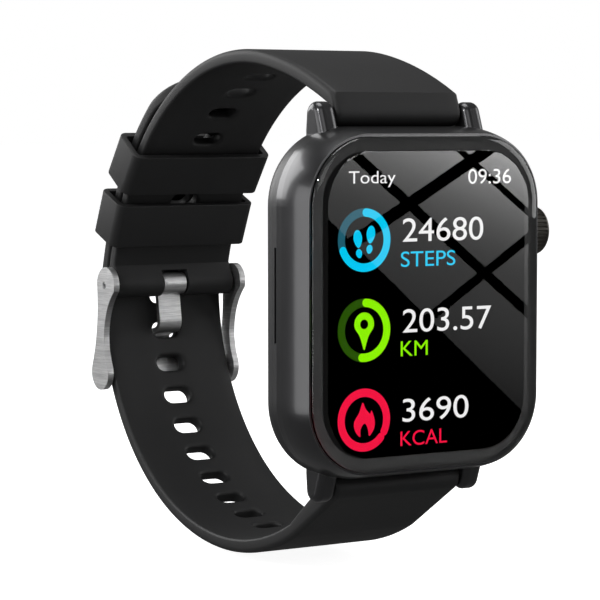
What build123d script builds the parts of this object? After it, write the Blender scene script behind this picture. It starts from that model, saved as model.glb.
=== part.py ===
from build123d import *
from math import cos, degrees, radians, sin
import os

os.makedirs("parts", exist_ok=True)

# Smartwatch, millimetres. +X is 3 o'clock (the crown), +Z is 12 o'clock, the screen faces -Y.
# Y = 0 is the flat of the sensor window, where the back of the case meets the wrist.

# ---- driving dimensions: case ----
glass_w = 35.0
glass_h = 42.2
glass_r = 8.7
glass_front = -11.9
glass_back = -10.4
glass_bevel = 1.9
glass_drop = 0.7
seat_y = -10.2
frame_front = -11.0
seam_y = -4.9
back_y = -0.6
frame_bulge = 1.25
wall = 2.2
shell_wall = 1.3
shell_round = 3.2
slip = 0.05

# ---- driving dimensions: strap and its bars ----
lug_gap = 20.0
strap_w = 19.7
strap_t = 1.9
ply_gap = 0.1
bar_y = -3.6
bar_z = 23.92
boss_r = 1.6
lug_r = 1.6
lug_t = 2.9
lug_base = 4.2
lug_lean = 0.3
bar_r = 0.75
pin_r = 0.45
pin_travel = 1.2
knob_x = -7.2
slot_l = 4.3
slot_w = 2.3
slot_pitch = 5.1

# The loop is a chain of arcs on the face where the two strap halves meet.
# It starts outside the buckle bar; each pair is a radius and the degrees it turns.
loop_y = 55.95
loop_z = -2.0
upper_arcs = [(4.0, 10.0), (45.0, 29.0), (36.5, 61.0), (57.5, 17.0)]
lower_arcs = [(18.0, 4.0), (32.5, 64.0), (35.5, 49.5)]
tip_arc = 21.5

# ---- driving dimensions: buckle, keepers, crown ----
heel_y = loop_y - 2.15
heel_z = -0.9
roll_r = 1.9
arm_t = 0.9
arm_x = 10.3
tongue_w = 3.7
tongue_t = 0.8
keeper_h = 6.6
keeper_w = 22.8
keeper_t = 6.4
keeper_wall = 0.95
keeper_lift = {"keeper_lower": 11.5, "keeper_upper": 20.6}
crown_y = -6.5
crown_z = 8.6
crown_r = 3.2
crown_travel = 0.4
crown_tip = 21.1
case_x = glass_w / 2 + frame_bulge
case_z = glass_h / 2 + frame_bulge
case_r = glass_r + frame_bulge
low_end = (Align.CENTER, Align.CENTER, Align.MIN)


def finish(piece, name):
    """Labels a finished piece and writes its STEP file."""
    piece.part.label = name
    export_step(piece.part, f"parts/{name}.step")


def at_depth(y):
    """A plane across the case at depth y, drawn in X and Z, facing the wrist."""
    return Plane(origin=(0, y, 0), x_dir=(-1, 0, 0), z_dir=(0, 1, 0))


def across(x, y, z):
    """A plane square to X through a point, drawn in Y and Z."""
    return Plane(origin=(x, y, z), x_dir=(0, 1, 0), z_dir=(1, 0, 0))


def slab(width, height, corner, front, back):
    """A rounded rectangular plate lying parallel to the screen."""
    with BuildPart() as plate:
        with BuildSketch(at_depth(front)):
            RectangleRounded(width, height, corner)
        extrude(amount=back - front)
    return plate.part


def ring_half(width, height, corner):
    """Half of a rounded rectangle in X and Z, from 3 o'clock over 12 to 9 o'clock."""
    return FilletPolyline(
        (width / 2, 0), (width / 2, height / 2), (-width / 2, height / 2), (-width / 2, 0),
        radius=corner,
    )


def walk(arcs, distance, side):
    """The point and heading a distance along the loop; side is 1 up, -1 down from its start."""
    y, z, heading = loop_y, 0.0, 90.0
    for radius, turn in arcs:
        part_turn = min(turn, degrees(distance / radius))
        centre = (y - radius * sin(radians(heading)), z + radius * cos(radians(heading)))
        heading += part_turn
        y = centre[0] + radius * sin(radians(heading))
        z = centre[1] - radius * cos(radians(heading))
        distance -= radius * radians(part_turn)
        if distance < 1e-6:
            break
    return y, loop_z + side * z, heading


def strap_plane(arcs, distance, side):
    """A plane on the loop, its X along the watch's X and its Z outward from the wrist."""
    y, z, heading = walk(arcs, distance, side)
    outward = (0, sin(radians(heading)), -side * cos(radians(heading)))
    return Plane(origin=(0, y, z), x_dir=(1, 0, 0), z_dir=outward)


def arc_length(arcs):
    return sum(radius * radians(turn) for radius, turn in arcs)


def arc_run(arcs, offset, side):
    """Draws the loop's arcs, moved outward by the offset, in the current line builder."""
    heading = 90.0
    y, z = loop_y + offset, loop_z
    for radius, turn in arcs:
        tangent = (cos(radians(heading)), side * sin(radians(heading)))
        arc = JernArc(start=(y, z), tangent=tangent, radius=radius + offset, arc_size=side * turn)
        heading += turn
        y, z = (arc @ 1).X, (arc @ 1).Y
    return y, z


def ply(arcs, low, high, side, width):
    """One strap layer between two offsets from the loop, as wide as the strap."""
    with BuildPart() as layer:
        with BuildSketch(Plane.YZ):
            with BuildLine():
                inner_end = arc_run(arcs, low, side)
                outer_end = arc_run(arcs, high, side)
                Line((loop_y + low, loop_z), (loop_y + high, loop_z))
                Line(inner_end, outer_end)
            make_face()
        extrude(amount=width / 2, both=True)
    return layer.part


def strap_root(arcs, low, high, side):
    """The strap's thick end: a boss round the spring bar blended into the layer."""
    end = arc_length(arcs)
    y, z, heading = walk(arcs, end, side)
    out_y, out_z = sin(radians(heading)), -side * cos(radians(heading))
    with BuildPart() as root:
        with BuildSketch(Plane.YZ) as outline:
            with Locations((bar_y, side * bar_z)):
                Circle(boss_r)
            with BuildLine():
                Line((y + out_y * low, z + out_z * low), (y + out_y * high, z + out_z * high))
                Line((y + out_y * high, z + out_z * high), (bar_y, side * bar_z))
                Line((bar_y, side * bar_z), (y + out_y * low, z + out_z * low))
            make_face()
            make_hull()
        extrude(amount=strap_w / 2, both=True)
    return root.part


def long_edges(part, radii, half_width):
    """The edges along a strap's two sides whose radius is in the list."""
    sides = part.edges().filter_by(GeomType.CIRCLE)
    sides = sides.filter_by(lambda e: abs(abs(e.center().X) - half_width) < 0.01)
    return sides.filter_by(lambda e: any(abs(e.radius - r) < 0.01 for r in radii))


def punch(part_planes):
    """Slot cutters square to the strap, one at each plane."""
    with BuildPart() as cutters:
        for plane in part_planes:
            with BuildSketch(plane):
                SlotOverall(slot_l, slot_w)
            extrude(amount=3 * strap_t, both=True)
    return cutters.part


# ---- front frame: the polished metal ring round the glass ----
seat_x = glass_w / 2 + 0.08
inner_x = case_x - wall
recess_x = case_x - 0.45
with BuildPart() as front_frame:
    with BuildLine(Plane.XZ) as frame_path:
        ring_half(glass_w, glass_h, glass_r)
    with BuildSketch(Plane.XY):
        with BuildLine():
            Polyline(
                (glass_w / 2 + 0.35, frame_front), (seat_x, frame_front), (seat_x, seat_y),
                (inner_x, seat_y), (inner_x, seam_y - 0.25), (case_x - 1.1, seam_y - 0.25),
                (case_x - 1.1, seam_y), (case_x, seam_y),
            )
            Line((case_x, seam_y), (case_x, seam_y - 1.2))
            RadiusArc((case_x, seam_y - 1.2), (glass_w / 2 + 0.35, frame_front), 15.5)
        make_face()
    sweep(path=frame_path.wire())
    mirror(about=Plane.XY)
    with Locations(across(recess_x, crown_y, crown_z)):
        Cylinder(crown_r + 0.25, 2.0, align=low_end, mode=Mode.SUBTRACT)
        Cylinder(1.25, 8.0, mode=Mode.SUBTRACT)
finish(front_frame, "front_frame")

# ---- rear shell: the dark back half of the case, with the sensor opening ----
window_r = 11.0
slot_half = 6.0
slot_z = 1.2
screw_x = 12.6
screw_z = 16.2
contact_x = 3.2
contact_z = -14.6
lug_x = lug_gap / 2 + lug_t / 2
lug_screw_y = -3.4
lug_screw_head = 18.3
lug_screw_tip = 23.1
with BuildPart() as rear_shell:
    with BuildSketch(at_depth(seam_y)):
        RectangleRounded(2 * case_x - 0.1, 2 * case_z - 0.1, case_r)
    extrude(amount=back_y - seam_y)
    fillet(rear_shell.faces().sort_by(Axis.Y)[-1].edges(), radius=shell_round)
    with BuildSketch(at_depth(seam_y)):
        RectangleRounded(2 * (case_x - shell_wall - 1.1), 2 * (case_z - shell_wall - 1.1),
                         case_r - shell_wall - 1.1)
    extrude(amount=back_y - seam_y - shell_wall, mode=Mode.SUBTRACT)
    with BuildSketch(at_depth(back_y - 2 * shell_wall)):
        Circle(window_r - 1.0)
    extrude(amount=4 * shell_wall, mode=Mode.SUBTRACT)
    with BuildSketch(at_depth(back_y - 0.7)):
        Circle(window_r + slip)
    extrude(amount=4 * shell_wall, mode=Mode.SUBTRACT)
    with Locations((-case_x, seam_y, slot_z)):
        Box(8.0, 1.0, 2 * slot_half, mode=Mode.SUBTRACT)
    with Locations(at_depth(back_y)):
        with GridLocations(2 * screw_x, 2 * screw_z, 2, 2):
            CounterBoreHole(0.65, 1.25, 0.8)
    with Locations(at_depth(back_y)):
        with Locations((0, contact_z)):
            with GridLocations(2 * contact_x, 1, 2, 1):
                Hole(1.0)
    with Locations(across(recess_x, crown_y, crown_z)):
        Cylinder(crown_r + 0.25, 2.0, align=low_end, mode=Mode.SUBTRACT)
    for sx in (-1, 1):
        with Locations((sx * lug_x, lug_screw_y, 0)):
            Cylinder(0.55, 3 * case_z, mode=Mode.SUBTRACT)
finish(rear_shell, "rear_shell")

# ---- the four lugs: cast horns seated on the case, drilled for the spring bars ----
case_ring = front_frame.part + rear_shell.part
for lug_name, sx, sz in [("lug_12_left", -1, 1), ("lug_12_right", 1, 1),
                         ("lug_6_left", -1, -1), ("lug_6_right", 1, -1)]:
    with BuildPart() as lug:
        with BuildSketch(across(sx * lug_x, 0, 0)):
            with Locations((bar_y - lug_lean, sz * bar_z)):
                Circle(lug_r)
            with Locations((bar_y - 2 * lug_lean, sz * (case_z - 0.9))):
                Rectangle(lug_base, 1.0)
            make_hull()
        extrude(amount=lug_t / 2, both=True)
        horn_edges = lug.faces().filter_by(Axis.X).edges()
        fillet(horn_edges.filter_by(lambda e: abs(e.center().Z) > case_z), radius=1.0)
        add(case_ring, mode=Mode.SUBTRACT)
        add(slab(2 * case_x - 1.6, 2 * case_z - 1.6, case_r - 0.8, frame_front, back_y - 1.0),
            mode=Mode.SUBTRACT)
        with Locations(Plane(origin=(sx * lug_gap / 2, bar_y, sz * bar_z), z_dir=(sx, 0, 0))):
            Cylinder(pin_r + slip, 1.7, align=low_end, mode=Mode.SUBTRACT)
        with Locations(Plane(origin=(sx * lug_x, lug_screw_y, 0), z_dir=(0, 0, sz))):
            Cylinder(0.5, lug_screw_tip + 0.1, align=low_end, mode=Mode.SUBTRACT)
    finish(lug, lug_name)

# ---- front glass with its curved edge, its adhesive and the display ----
with BuildPart() as front_glass:
    with BuildLine(Plane.XZ) as glass_path:
        ring_half(glass_w, glass_h, glass_r)
    with BuildSketch(Plane.XY):
        edge_x = glass_w / 2
        with BuildLine():
            Polyline(
                (edge_x, glass_front + glass_drop), (edge_x, glass_back),
                (edge_x - glass_bevel, glass_back), (edge_x - glass_bevel, glass_front),
            )
            EllipticalCenterArc((edge_x - glass_bevel, glass_front + glass_drop),
                                glass_bevel, glass_drop, start_angle=270, arc_size=90)
        make_face()
    sweep(path=glass_path.wire())
    mirror(about=Plane.XY)
    flat_w, flat_h = glass_w - 2 * glass_bevel, glass_h - 2 * glass_bevel
    add(slab(flat_w + 0.02, flat_h + 0.02, glass_r - glass_bevel, glass_front, glass_back))
finish(front_glass, "front_glass")

with BuildPart() as glass_adhesive:
    add(slab(glass_w - 0.4, glass_h - 0.4, glass_r - 0.2, glass_back, seat_y))
    add(slab(glass_w - 2.2, glass_h - 2.2, glass_r - 1.1, glass_back - 1, seat_y + 1),
        mode=Mode.SUBTRACT)
finish(glass_adhesive, "glass_adhesive")

panel_back = -9.3
flex_t = 0.12
flex_end = -4.24
with BuildPart() as display_panel:
    add(slab(32.4, 39.6, 7.4, glass_back, panel_back))
finish(display_panel, "display_panel")

with BuildPart() as display_flex:
    with BuildSketch(Plane.YZ):
        with BuildLine():
            Polyline((panel_back, -12.0), (panel_back + flex_t, -12.0),
                     (panel_back + flex_t, -18.3), (flex_end, -18.3), (flex_end, -15.6),
                     (flex_end + flex_t, -15.6), (flex_end + flex_t, -18.3 - flex_t),
                     (panel_back, -18.3 - flex_t), close=True)
        make_face()
    extrude(amount=4.0, both=True)
finish(display_flex, "display_flex")

# ---- inner chassis, battery, boards ----
with BuildPart() as inner_chassis:
    add(slab(2 * inner_x - 0.4, 2 * (case_z - wall) - 0.4, case_r - wall, -8.9, -8.1))
    add(slab(2 * inner_x - 0.4, 2 * (case_z - wall) - 0.4, case_r - wall, -8.1, -5.2))
    add(slab(2 * inner_x - 3.0, 2 * (case_z - wall) - 3.0, case_r - wall - 1.3, -8.1, -5.0),
        mode=Mode.SUBTRACT)
    with Locations((0, -8.5, -17.6)):
        Box(9.0, 2.0, 3.2, mode=Mode.SUBTRACT)
    with Locations((inner_x - 1.4, crown_y, crown_z)):
        Box(5.0, 5.2, 7.6, mode=Mode.SUBTRACT)
    with Locations((-inner_x, -5.6, slot_z)):
        Box(5.0, 1.8, 8.0, mode=Mode.SUBTRACT)
    with Locations(at_depth(-8.1)):
        with GridLocations(2 * screw_x, 2 * screw_z, 2, 2):
            Cylinder(1.5, 3.1, align=low_end)
            Cylinder(0.56, 4.0, align=low_end, mode=Mode.SUBTRACT)
finish(inner_chassis, "inner_chassis")

with BuildPart() as battery:
    with Locations((-0.9, -6.52, 3.6)):
        Box(21.0, 2.9, 22.0)
    fillet(battery.edges().filter_by(Axis.Z), radius=0.9)
finish(battery, "battery")

with BuildPart() as main_board:
    with BuildSketch(at_depth(-4.1)):
        RectangleRounded(28.0, 32.0, 4.5)
    extrude(amount=0.7)
finish(main_board, "main_board")

with BuildPart() as board_chips:
    for chip_x, chip_z, chip_w, chip_h in [(8.5, -11.5, 8.0, 6.0), (-6.0, -12.5, 10.0, 5.0),
                                           (6.5, 13.0, 5.0, 3.6)]:
        with Locations((chip_x, -4.55, chip_z)):
            Box(chip_w, 0.9, chip_h)
finish(board_chips, "board_chips")

with BuildPart() as vibration_motor:
    with Locations(Plane(origin=(7.6, -8.0, -11.8), z_dir=(0, 1, 0))):
        Cylinder(4.0, 2.5, align=low_end)
    fillet(vibration_motor.edges(), radius=0.3)
finish(vibration_motor, "vibration_motor")

with BuildPart() as microphone:
    with Locations((-6.0, -2.9, 14.0)):
        Box(3.5, 1.0, 2.6)
finish(microphone, "microphone")

# ---- speaker behind the slot in the left side, with its mesh ----
with BuildPart() as speaker:
    with Locations((-13.4, -6.6, slot_z)):
        Box(3.0, 2.4, 10.0)
    fillet(speaker.edges().filter_by(Axis.Y), radius=0.6)
finish(speaker, "speaker")

with BuildPart() as speaker_mesh:
    with Locations((-case_x + 1.1, seam_y + 0.24, slot_z)):
        Box(0.3, 0.44, 2 * slot_half - 0.2)
finish(speaker_mesh, "speaker_mesh")

# ---- rear seal between the frame and the shell ----
with BuildPart() as rear_seal:
    seal_x, seal_z, seal_r = case_x - 1.35, case_z - 1.35, case_r - 1.35
    add(slab(2 * seal_x, 2 * seal_z, seal_r, seam_y - 0.2, seam_y))
    add(slab(2 * seal_x - 1.0, 2 * seal_z - 1.0, seal_r - 0.5, seam_y - 2, seam_y + 1),
        mode=Mode.SUBTRACT)
finish(rear_seal, "rear_seal")

# ---- sensor window, sensor board and its lamps, charging contacts and magnets ----
with BuildPart() as sensor_window:
    with Locations(Plane(origin=(0, back_y - 0.7, 0), z_dir=(0, 1, 0))):
        Cylinder(window_r, 0.7 - back_y, align=low_end)
    fillet(sensor_window.edges().sort_by(Axis.Y)[-1], radius=0.5)
finish(sensor_window, "sensor_window")

with BuildPart() as sensor_board:
    with Locations(Plane(origin=(0, -3.0, 0), z_dir=(0, 1, 0))):
        Cylinder(9.0, 0.6, align=low_end)
finish(sensor_board, "sensor_board")

with BuildPart() as sensor_lamps:
    with Locations(Plane(origin=(0, -2.4, 0), z_dir=(0, 1, 0))):
        with PolarLocations(5.0, 4):
            Box(2.0, 2.0, 0.8, align=low_end)
        Box(3.2, 3.2, 0.8, align=low_end)
finish(sensor_lamps, "sensor_lamps")

with BuildPart() as charge_contacts:
    with Locations(at_depth(-2.9)):
        with Locations((0, contact_z)):
            with GridLocations(2 * contact_x, 1, 2, 1):
                Cylinder(0.95, 2.9 + back_y + 0.15, align=low_end)
    fillet(charge_contacts.edges().sort_by(Axis.Y)[-2:], radius=0.25)
finish(charge_contacts, "charge_contacts")

with BuildPart() as charge_magnets:
    with Locations(at_depth(-3.3)):
        with Locations((0, contact_z)):
            with GridLocations(15.0, 1, 2, 1):
                Cylinder(2.0, 1.4, align=low_end)
finish(charge_magnets, "charge_magnets")

# ---- screws: four hold the rear shell, four hold the lugs from inside ----
with BuildPart() as shell_screws:
    with Locations(at_depth(back_y - 0.1)):
        with GridLocations(2 * screw_x, 2 * screw_z, 2, 2):
            Cylinder(1.15, 0.65, align=(Align.CENTER, Align.CENTER, Align.MAX))
            Cylinder(0.55, 5.9, align=(Align.CENTER, Align.CENTER, Align.MAX))
    with Locations(at_depth(back_y - 0.1)):
        with GridLocations(2 * screw_x, 2 * screw_z, 2, 2):
            for turn in (0, 90):
                Box(1.1, 0.26, 0.5, rotation=(0, 0, turn), mode=Mode.SUBTRACT)
finish(shell_screws, "shell_screws")

with BuildPart() as lug_screws:
    for sx in (-1, 1):
        for sz in (-1, 1):
            with Locations(Plane(origin=(sx * lug_x, lug_screw_y, sz * lug_screw_head),
                                 z_dir=(0, 0, sz))):
                Cylinder(0.95, 0.5, align=low_end)
                Cylinder(0.48, lug_screw_tip - lug_screw_head, align=low_end)
finish(lug_screws, "lug_screws")

# ---- crown: cap, stem, seal, bushing, plunger and switch ----
crown_axis = across(0, crown_y, crown_z)
cap_in = case_x + 0.1
with BuildPart() as crown_cap:
    with BuildSketch(crown_axis.offset(cap_in)):
        Circle(crown_r)
    extrude(amount=crown_tip - cap_in)
    fillet(crown_cap.faces().sort_by(Axis.X)[-1].edges(), radius=0.5)
    with BuildSketch(crown_axis.offset(cap_in)):
        with PolarLocations(crown_r, 36):
            Circle(0.16)
    extrude(amount=crown_tip - cap_in - 0.5, mode=Mode.SUBTRACT)
    with BuildSketch(crown_axis.offset(crown_tip - 0.12)):
        Circle(crown_r - 0.9)
    extrude(amount=0.5, mode=Mode.SUBTRACT)
finish(crown_cap, "crown_cap")

stem_in = 13.7
with BuildPart() as crown_stem:
    with BuildSketch(crown_axis.offset(stem_in)):
        Circle(0.8)
    extrude(amount=cap_in - stem_in)
    with BuildSketch(crown_axis.offset(stem_in)):
        Circle(1.05)
    extrude(amount=0.4)
    with BuildSketch(crown_axis.offset(case_x - 1.1)):
        Circle(1.0)
        Circle(0.62, mode=Mode.SUBTRACT)
    extrude(amount=0.6, mode=Mode.SUBTRACT)
finish(crown_stem, "crown_stem")

with BuildPart() as crown_ring:
    with BuildSketch(crown_axis.offset(case_x - 1.05)):
        Circle(0.82)
        Circle(0.64, mode=Mode.SUBTRACT)
    extrude(amount=0.5)
finish(crown_ring, "crown_ring")

with BuildPart() as crown_bushing:
    with BuildSketch(crown_axis.offset(case_x - 2.9)):
        Circle(1.25)
        Circle(0.86, mode=Mode.SUBTRACT)
    extrude(amount=2.4)
finish(crown_bushing, "crown_bushing")

with BuildPart() as crown_plunger:
    with BuildSketch(crown_axis.offset(stem_in - 0.75)):
        Circle(1.3)
    extrude(amount=0.7)
finish(crown_plunger, "crown_plunger")

with BuildPart() as crown_switch:
    with BuildSketch(crown_axis.offset(stem_in - 3.0)):
        Rectangle(3.2, 4.6)
    extrude(amount=3.0 - 0.75 - crown_travel - 0.1)
finish(crown_switch, "crown_switch")

# ---- upper strap half: the buckle side, the inner of the two layers ----
half_w = strap_w / 2
upper_low, upper_high = -ply_gap / 2 - strap_t, -ply_gap / 2
upper_slots = [9.2 + 5.9 * n for n in range(7)]
with BuildPart() as strap_upper:
    add(ply(upper_arcs, upper_low, upper_high, 1, strap_w))
    upper_rim = [radius + upper_high for radius, turn in upper_arcs]
    fillet(long_edges(strap_upper, upper_rim, half_w), radius=0.8)
    add(strap_root(upper_arcs, upper_low, upper_high, 1))
    with BuildSketch(Plane.YZ):
        with Locations((heel_y, heel_z)):
            Circle(roll_r)
    extrude(amount=half_w, both=True)
    with Locations((0, heel_y - 0.5, heel_z - 1.2)):
        Box(slot_l, 6.6, 6.5, mode=Mode.SUBTRACT)
    add(punch([strap_plane(upper_arcs, s, 1) for s in upper_slots]), mode=Mode.SUBTRACT)
    with Locations(across(0, heel_y, heel_z)):
        Cylinder(bar_r + slip, 2 * strap_w, mode=Mode.SUBTRACT)
    with Locations(across(0, bar_y, bar_z)):
        Cylinder(bar_r + slip, 2 * strap_w, mode=Mode.SUBTRACT)
    with Locations((knob_x + pin_travel / 2, bar_y + 1.5, bar_z)):
        Box(pin_travel + 1.8, 3.0, 1.8, mode=Mode.SUBTRACT)
finish(strap_upper, "strap_upper")

# ---- lower strap half: the slotted side, passing outside the buckle and the upper half ----
lower_low, lower_high = ply_gap / 2, ply_gap / 2 + strap_t
overlap_arcs = [upper_arcs[0], upper_arcs[1], (upper_arcs[2][0], tip_arc)]
lower_slots = [0.8 + slot_pitch * n for n in range(10)]
overlap_slots = [4.3 + slot_pitch * n for n in range(5)]
with BuildPart() as strap_lower:
    add(ply(lower_arcs, lower_low, lower_high, -1, strap_w))
    add(ply(overlap_arcs, lower_low, lower_high, 1, strap_w))
    tip_face = strap_lower.faces().filter_by(GeomType.PLANE).sort_by(Axis.Z)[-1]
    fillet(tip_face.edges().filter_by(Axis.X, reverse=True), radius=7.0)
    lower_rim = [radius + lower_high for radius, turn in lower_arcs + overlap_arcs]
    fillet(long_edges(strap_lower, lower_rim, half_w), radius=0.8)
    add(strap_root(lower_arcs, lower_low, lower_high, -1))
    add(punch([strap_plane(lower_arcs, s, -1) for s in lower_slots]), mode=Mode.SUBTRACT)
    add(punch([strap_plane(upper_arcs, s, 1) for s in overlap_slots]), mode=Mode.SUBTRACT)
    with Locations(across(0, bar_y, -bar_z)):
        Cylinder(bar_r + slip, 2 * strap_w, mode=Mode.SUBTRACT)
    with Locations((knob_x + pin_travel / 2, bar_y + 1.5, -bar_z)):
        Box(pin_travel + 1.8, 3.0, 1.8, mode=Mode.SUBTRACT)
finish(strap_lower, "strap_lower")

# ---- spring bars: a tube in each strap end and a sprung pin at each of its ends ----
tube_half = 8.6
bore_r = pin_r + 0.13
shoulder = tube_half - 0.1


def bar_tube(y, z):
    """A spring bar's tube, closed in the middle third."""
    with BuildPart() as tube:
        with Locations(across(0, y, z)):
            Cylinder(bar_r, 2 * tube_half)
            Cylinder(bore_r, 3 * tube_half, mode=Mode.SUBTRACT)
            Cylinder(bore_r, 6.0)
    return tube


def bar_end(y, z, side, tip):
    """The sprung pin in one end of a bar, its tip standing out of the tube."""
    with BuildPart() as pin:
        with Locations(Plane(origin=(side * tip, y, z), z_dir=(-side, 0, 0))):
            Cylinder(pin_r, tip - shoulder + 0.5, align=low_end)
        with Locations(Plane(origin=(side * shoulder, y, z), z_dir=(-side, 0, 0))):
            Cylinder(bore_r - slip, 3.0, align=low_end)
        fillet(pin.edges().sort_by(Axis.X)[-1 if side > 0 else 0], radius=0.15)
    return pin


for hour, sz in [("12", 1), ("6", -1)]:
    spring_bar = bar_tube(bar_y, sz * bar_z)
    with spring_bar:
        with Locations((knob_x + pin_travel / 2, bar_y + 1.0, sz * bar_z)):
            Box(pin_travel + 1.2, 2.0, 1.1, mode=Mode.SUBTRACT)
    finish(spring_bar, f"spring_bar_{hour}")
    release_pin = bar_end(bar_y, sz * bar_z, -1, lug_gap / 2 + 1.4)
    with release_pin:
        with Locations(Plane(origin=(knob_x, bar_y, sz * bar_z), z_dir=(0, 1, 0))):
            Cylinder(0.42, 2.0, align=low_end)
        with Locations(Plane(origin=(knob_x, bar_y + 1.6, sz * bar_z), z_dir=(0, 1, 0))):
            Cylinder(0.75, 0.6, align=low_end)
    finish(release_pin, f"release_pin_{hour}")
    finish(bar_end(bar_y, sz * bar_z, 1, lug_gap / 2 + 1.4), f"plain_pin_{hour}")

# ---- buckle bar: the same kind of sprung bar, through the roll of the upper strap ----
arm_out = arm_x + arm_t
finish(bar_tube(heel_y, heel_z), "buckle_bar")
finish(bar_end(heel_y, heel_z, -1, arm_out - 0.1), "buckle_pin_left")
finish(bar_end(heel_y, heel_z, 1, arm_out - 0.1), "buckle_pin_right")

# ---- buckle frame: two arms from the bar to a crossbar outside the lower strap ----
crossbar_at = 10.9
crossbar_w = 3.2
crossbar_t = 1.0
crossbar_gap = 0.15
cross_plane = strap_plane(lower_arcs, crossbar_at, -1).offset(lower_high + crossbar_gap)
with BuildPart() as buckle_frame:
    for sx in (-1, 1):
        with BuildSketch(across(sx * arm_x, heel_y - 0.4, heel_z + 0.1)):
            with BuildLine():
                head = ThreePointArc((2.6, 0.0), (0.0, 2.6), (-2.45, -0.87))
                waist = ThreePointArc(head @ 1, (0.5, -6.9), (-0.5, -11.9))
                lobe = ThreePointArc(waist @ 1, (1.7, -15.5), (4.1, -11.9))
                ThreePointArc(lobe @ 1, (2.7, -6.5), head @ 0)
            make_face()
        extrude(amount=sx * arm_t)
    with BuildSketch(cross_plane):
        RectangleRounded(2 * arm_out - 0.3, crossbar_w, 0.5)
    extrude(amount=crossbar_t)
    with Locations(across(0, heel_y, heel_z)):
        Cylinder(pin_r + slip, 3 * arm_out, mode=Mode.SUBTRACT)
finish(buckle_frame, "buckle_frame")

# ---- buckle tongue: an eye round the bar and a strip that dips through a slot ----
eye_r = bar_r + slip + tongue_t / 2
with BuildPart() as buckle_tongue:
    with BuildSketch(Plane.YZ):
        with BuildLine():
            drop = Line((heel_y + eye_r, heel_z), (heel_y + eye_r - 0.86, heel_z - 5.43))
            bend_in = JernArc(start=drop @ 1, tangent=drop % 1, radius=1.4, arc_size=85)
            cross = Line(bend_in @ 1, bend_in @ 1 + (bend_in % 1) * 2.0)
            bend_out = JernArc(start=cross @ 1, tangent=cross % 1, radius=0.95, arc_size=-54)
            fall = Line(bend_out @ 1, bend_out @ 1 + (bend_out % 1) * 1.0)
            lay = JernArc(start=fall @ 1, tangent=fall % 1, radius=2.5, arc_size=-47)
            Line(lay @ 1, lay @ 1 + (lay % 1) * 2.6)
        trace(line_width=tongue_t)
        with Locations((heel_y, heel_z)):
            Circle(eye_r + tongue_t / 2)
            Circle(bar_r + slip, mode=Mode.SUBTRACT)
    extrude(amount=tongue_w / 2, both=True)
finish(buckle_tongue, "buckle_tongue")

# ---- keepers: square rubber loops that hold the free end down ----
for keeper_name, lift in keeper_lift.items():
    keeper_plane = strap_plane(upper_arcs, lift, 1)
    with BuildPart() as keeper:
        with BuildSketch(Plane(origin=keeper_plane.origin, x_dir=(1, 0, 0),
                               z_dir=keeper_plane.y_dir)):
            RectangleRounded(keeper_w, keeper_t, 1.3)
            RectangleRounded(keeper_w - 2 * keeper_wall, keeper_t - 2 * keeper_wall, 0.7,
                             mode=Mode.SUBTRACT)
        extrude(amount=keeper_h / 2, both=True)
    finish(keeper, keeper_name)
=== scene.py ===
from math import acos, atan2, ceil, cos, degrees, pi, radians, sin

import bmesh
import bpy
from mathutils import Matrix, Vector


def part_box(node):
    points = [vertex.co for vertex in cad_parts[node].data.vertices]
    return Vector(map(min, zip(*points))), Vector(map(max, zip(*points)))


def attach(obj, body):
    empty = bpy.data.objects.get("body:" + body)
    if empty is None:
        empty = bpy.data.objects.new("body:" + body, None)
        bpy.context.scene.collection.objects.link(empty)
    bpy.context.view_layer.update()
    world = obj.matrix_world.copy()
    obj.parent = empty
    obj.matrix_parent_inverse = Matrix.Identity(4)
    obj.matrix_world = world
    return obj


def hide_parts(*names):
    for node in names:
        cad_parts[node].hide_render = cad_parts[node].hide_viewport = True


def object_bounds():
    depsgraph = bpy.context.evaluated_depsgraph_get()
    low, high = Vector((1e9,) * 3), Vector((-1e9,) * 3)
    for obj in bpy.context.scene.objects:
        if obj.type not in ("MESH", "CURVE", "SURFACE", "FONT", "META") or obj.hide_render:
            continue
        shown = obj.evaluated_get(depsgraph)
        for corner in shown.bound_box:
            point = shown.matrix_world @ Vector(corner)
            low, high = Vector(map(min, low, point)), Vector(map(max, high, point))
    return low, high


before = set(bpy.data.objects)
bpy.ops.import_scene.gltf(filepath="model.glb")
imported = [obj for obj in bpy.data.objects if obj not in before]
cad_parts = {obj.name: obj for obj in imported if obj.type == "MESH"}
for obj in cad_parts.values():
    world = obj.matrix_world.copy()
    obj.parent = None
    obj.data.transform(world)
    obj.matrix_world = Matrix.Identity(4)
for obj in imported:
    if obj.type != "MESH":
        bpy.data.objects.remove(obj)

cad_low, cad_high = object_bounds()
scene = bpy.context.scene

# Smartwatch, drawn here in millimetres and stored in metres.
# +X is 3 o'clock, +Z is 12 o'clock, the screen faces -Y, and Y = 0 is the sensor window's flat.
MM = 0.001
CUT_SHARP, INK_SHARP, KEEPER_SHARP = radians(38), radians(40), radians(50)

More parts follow.
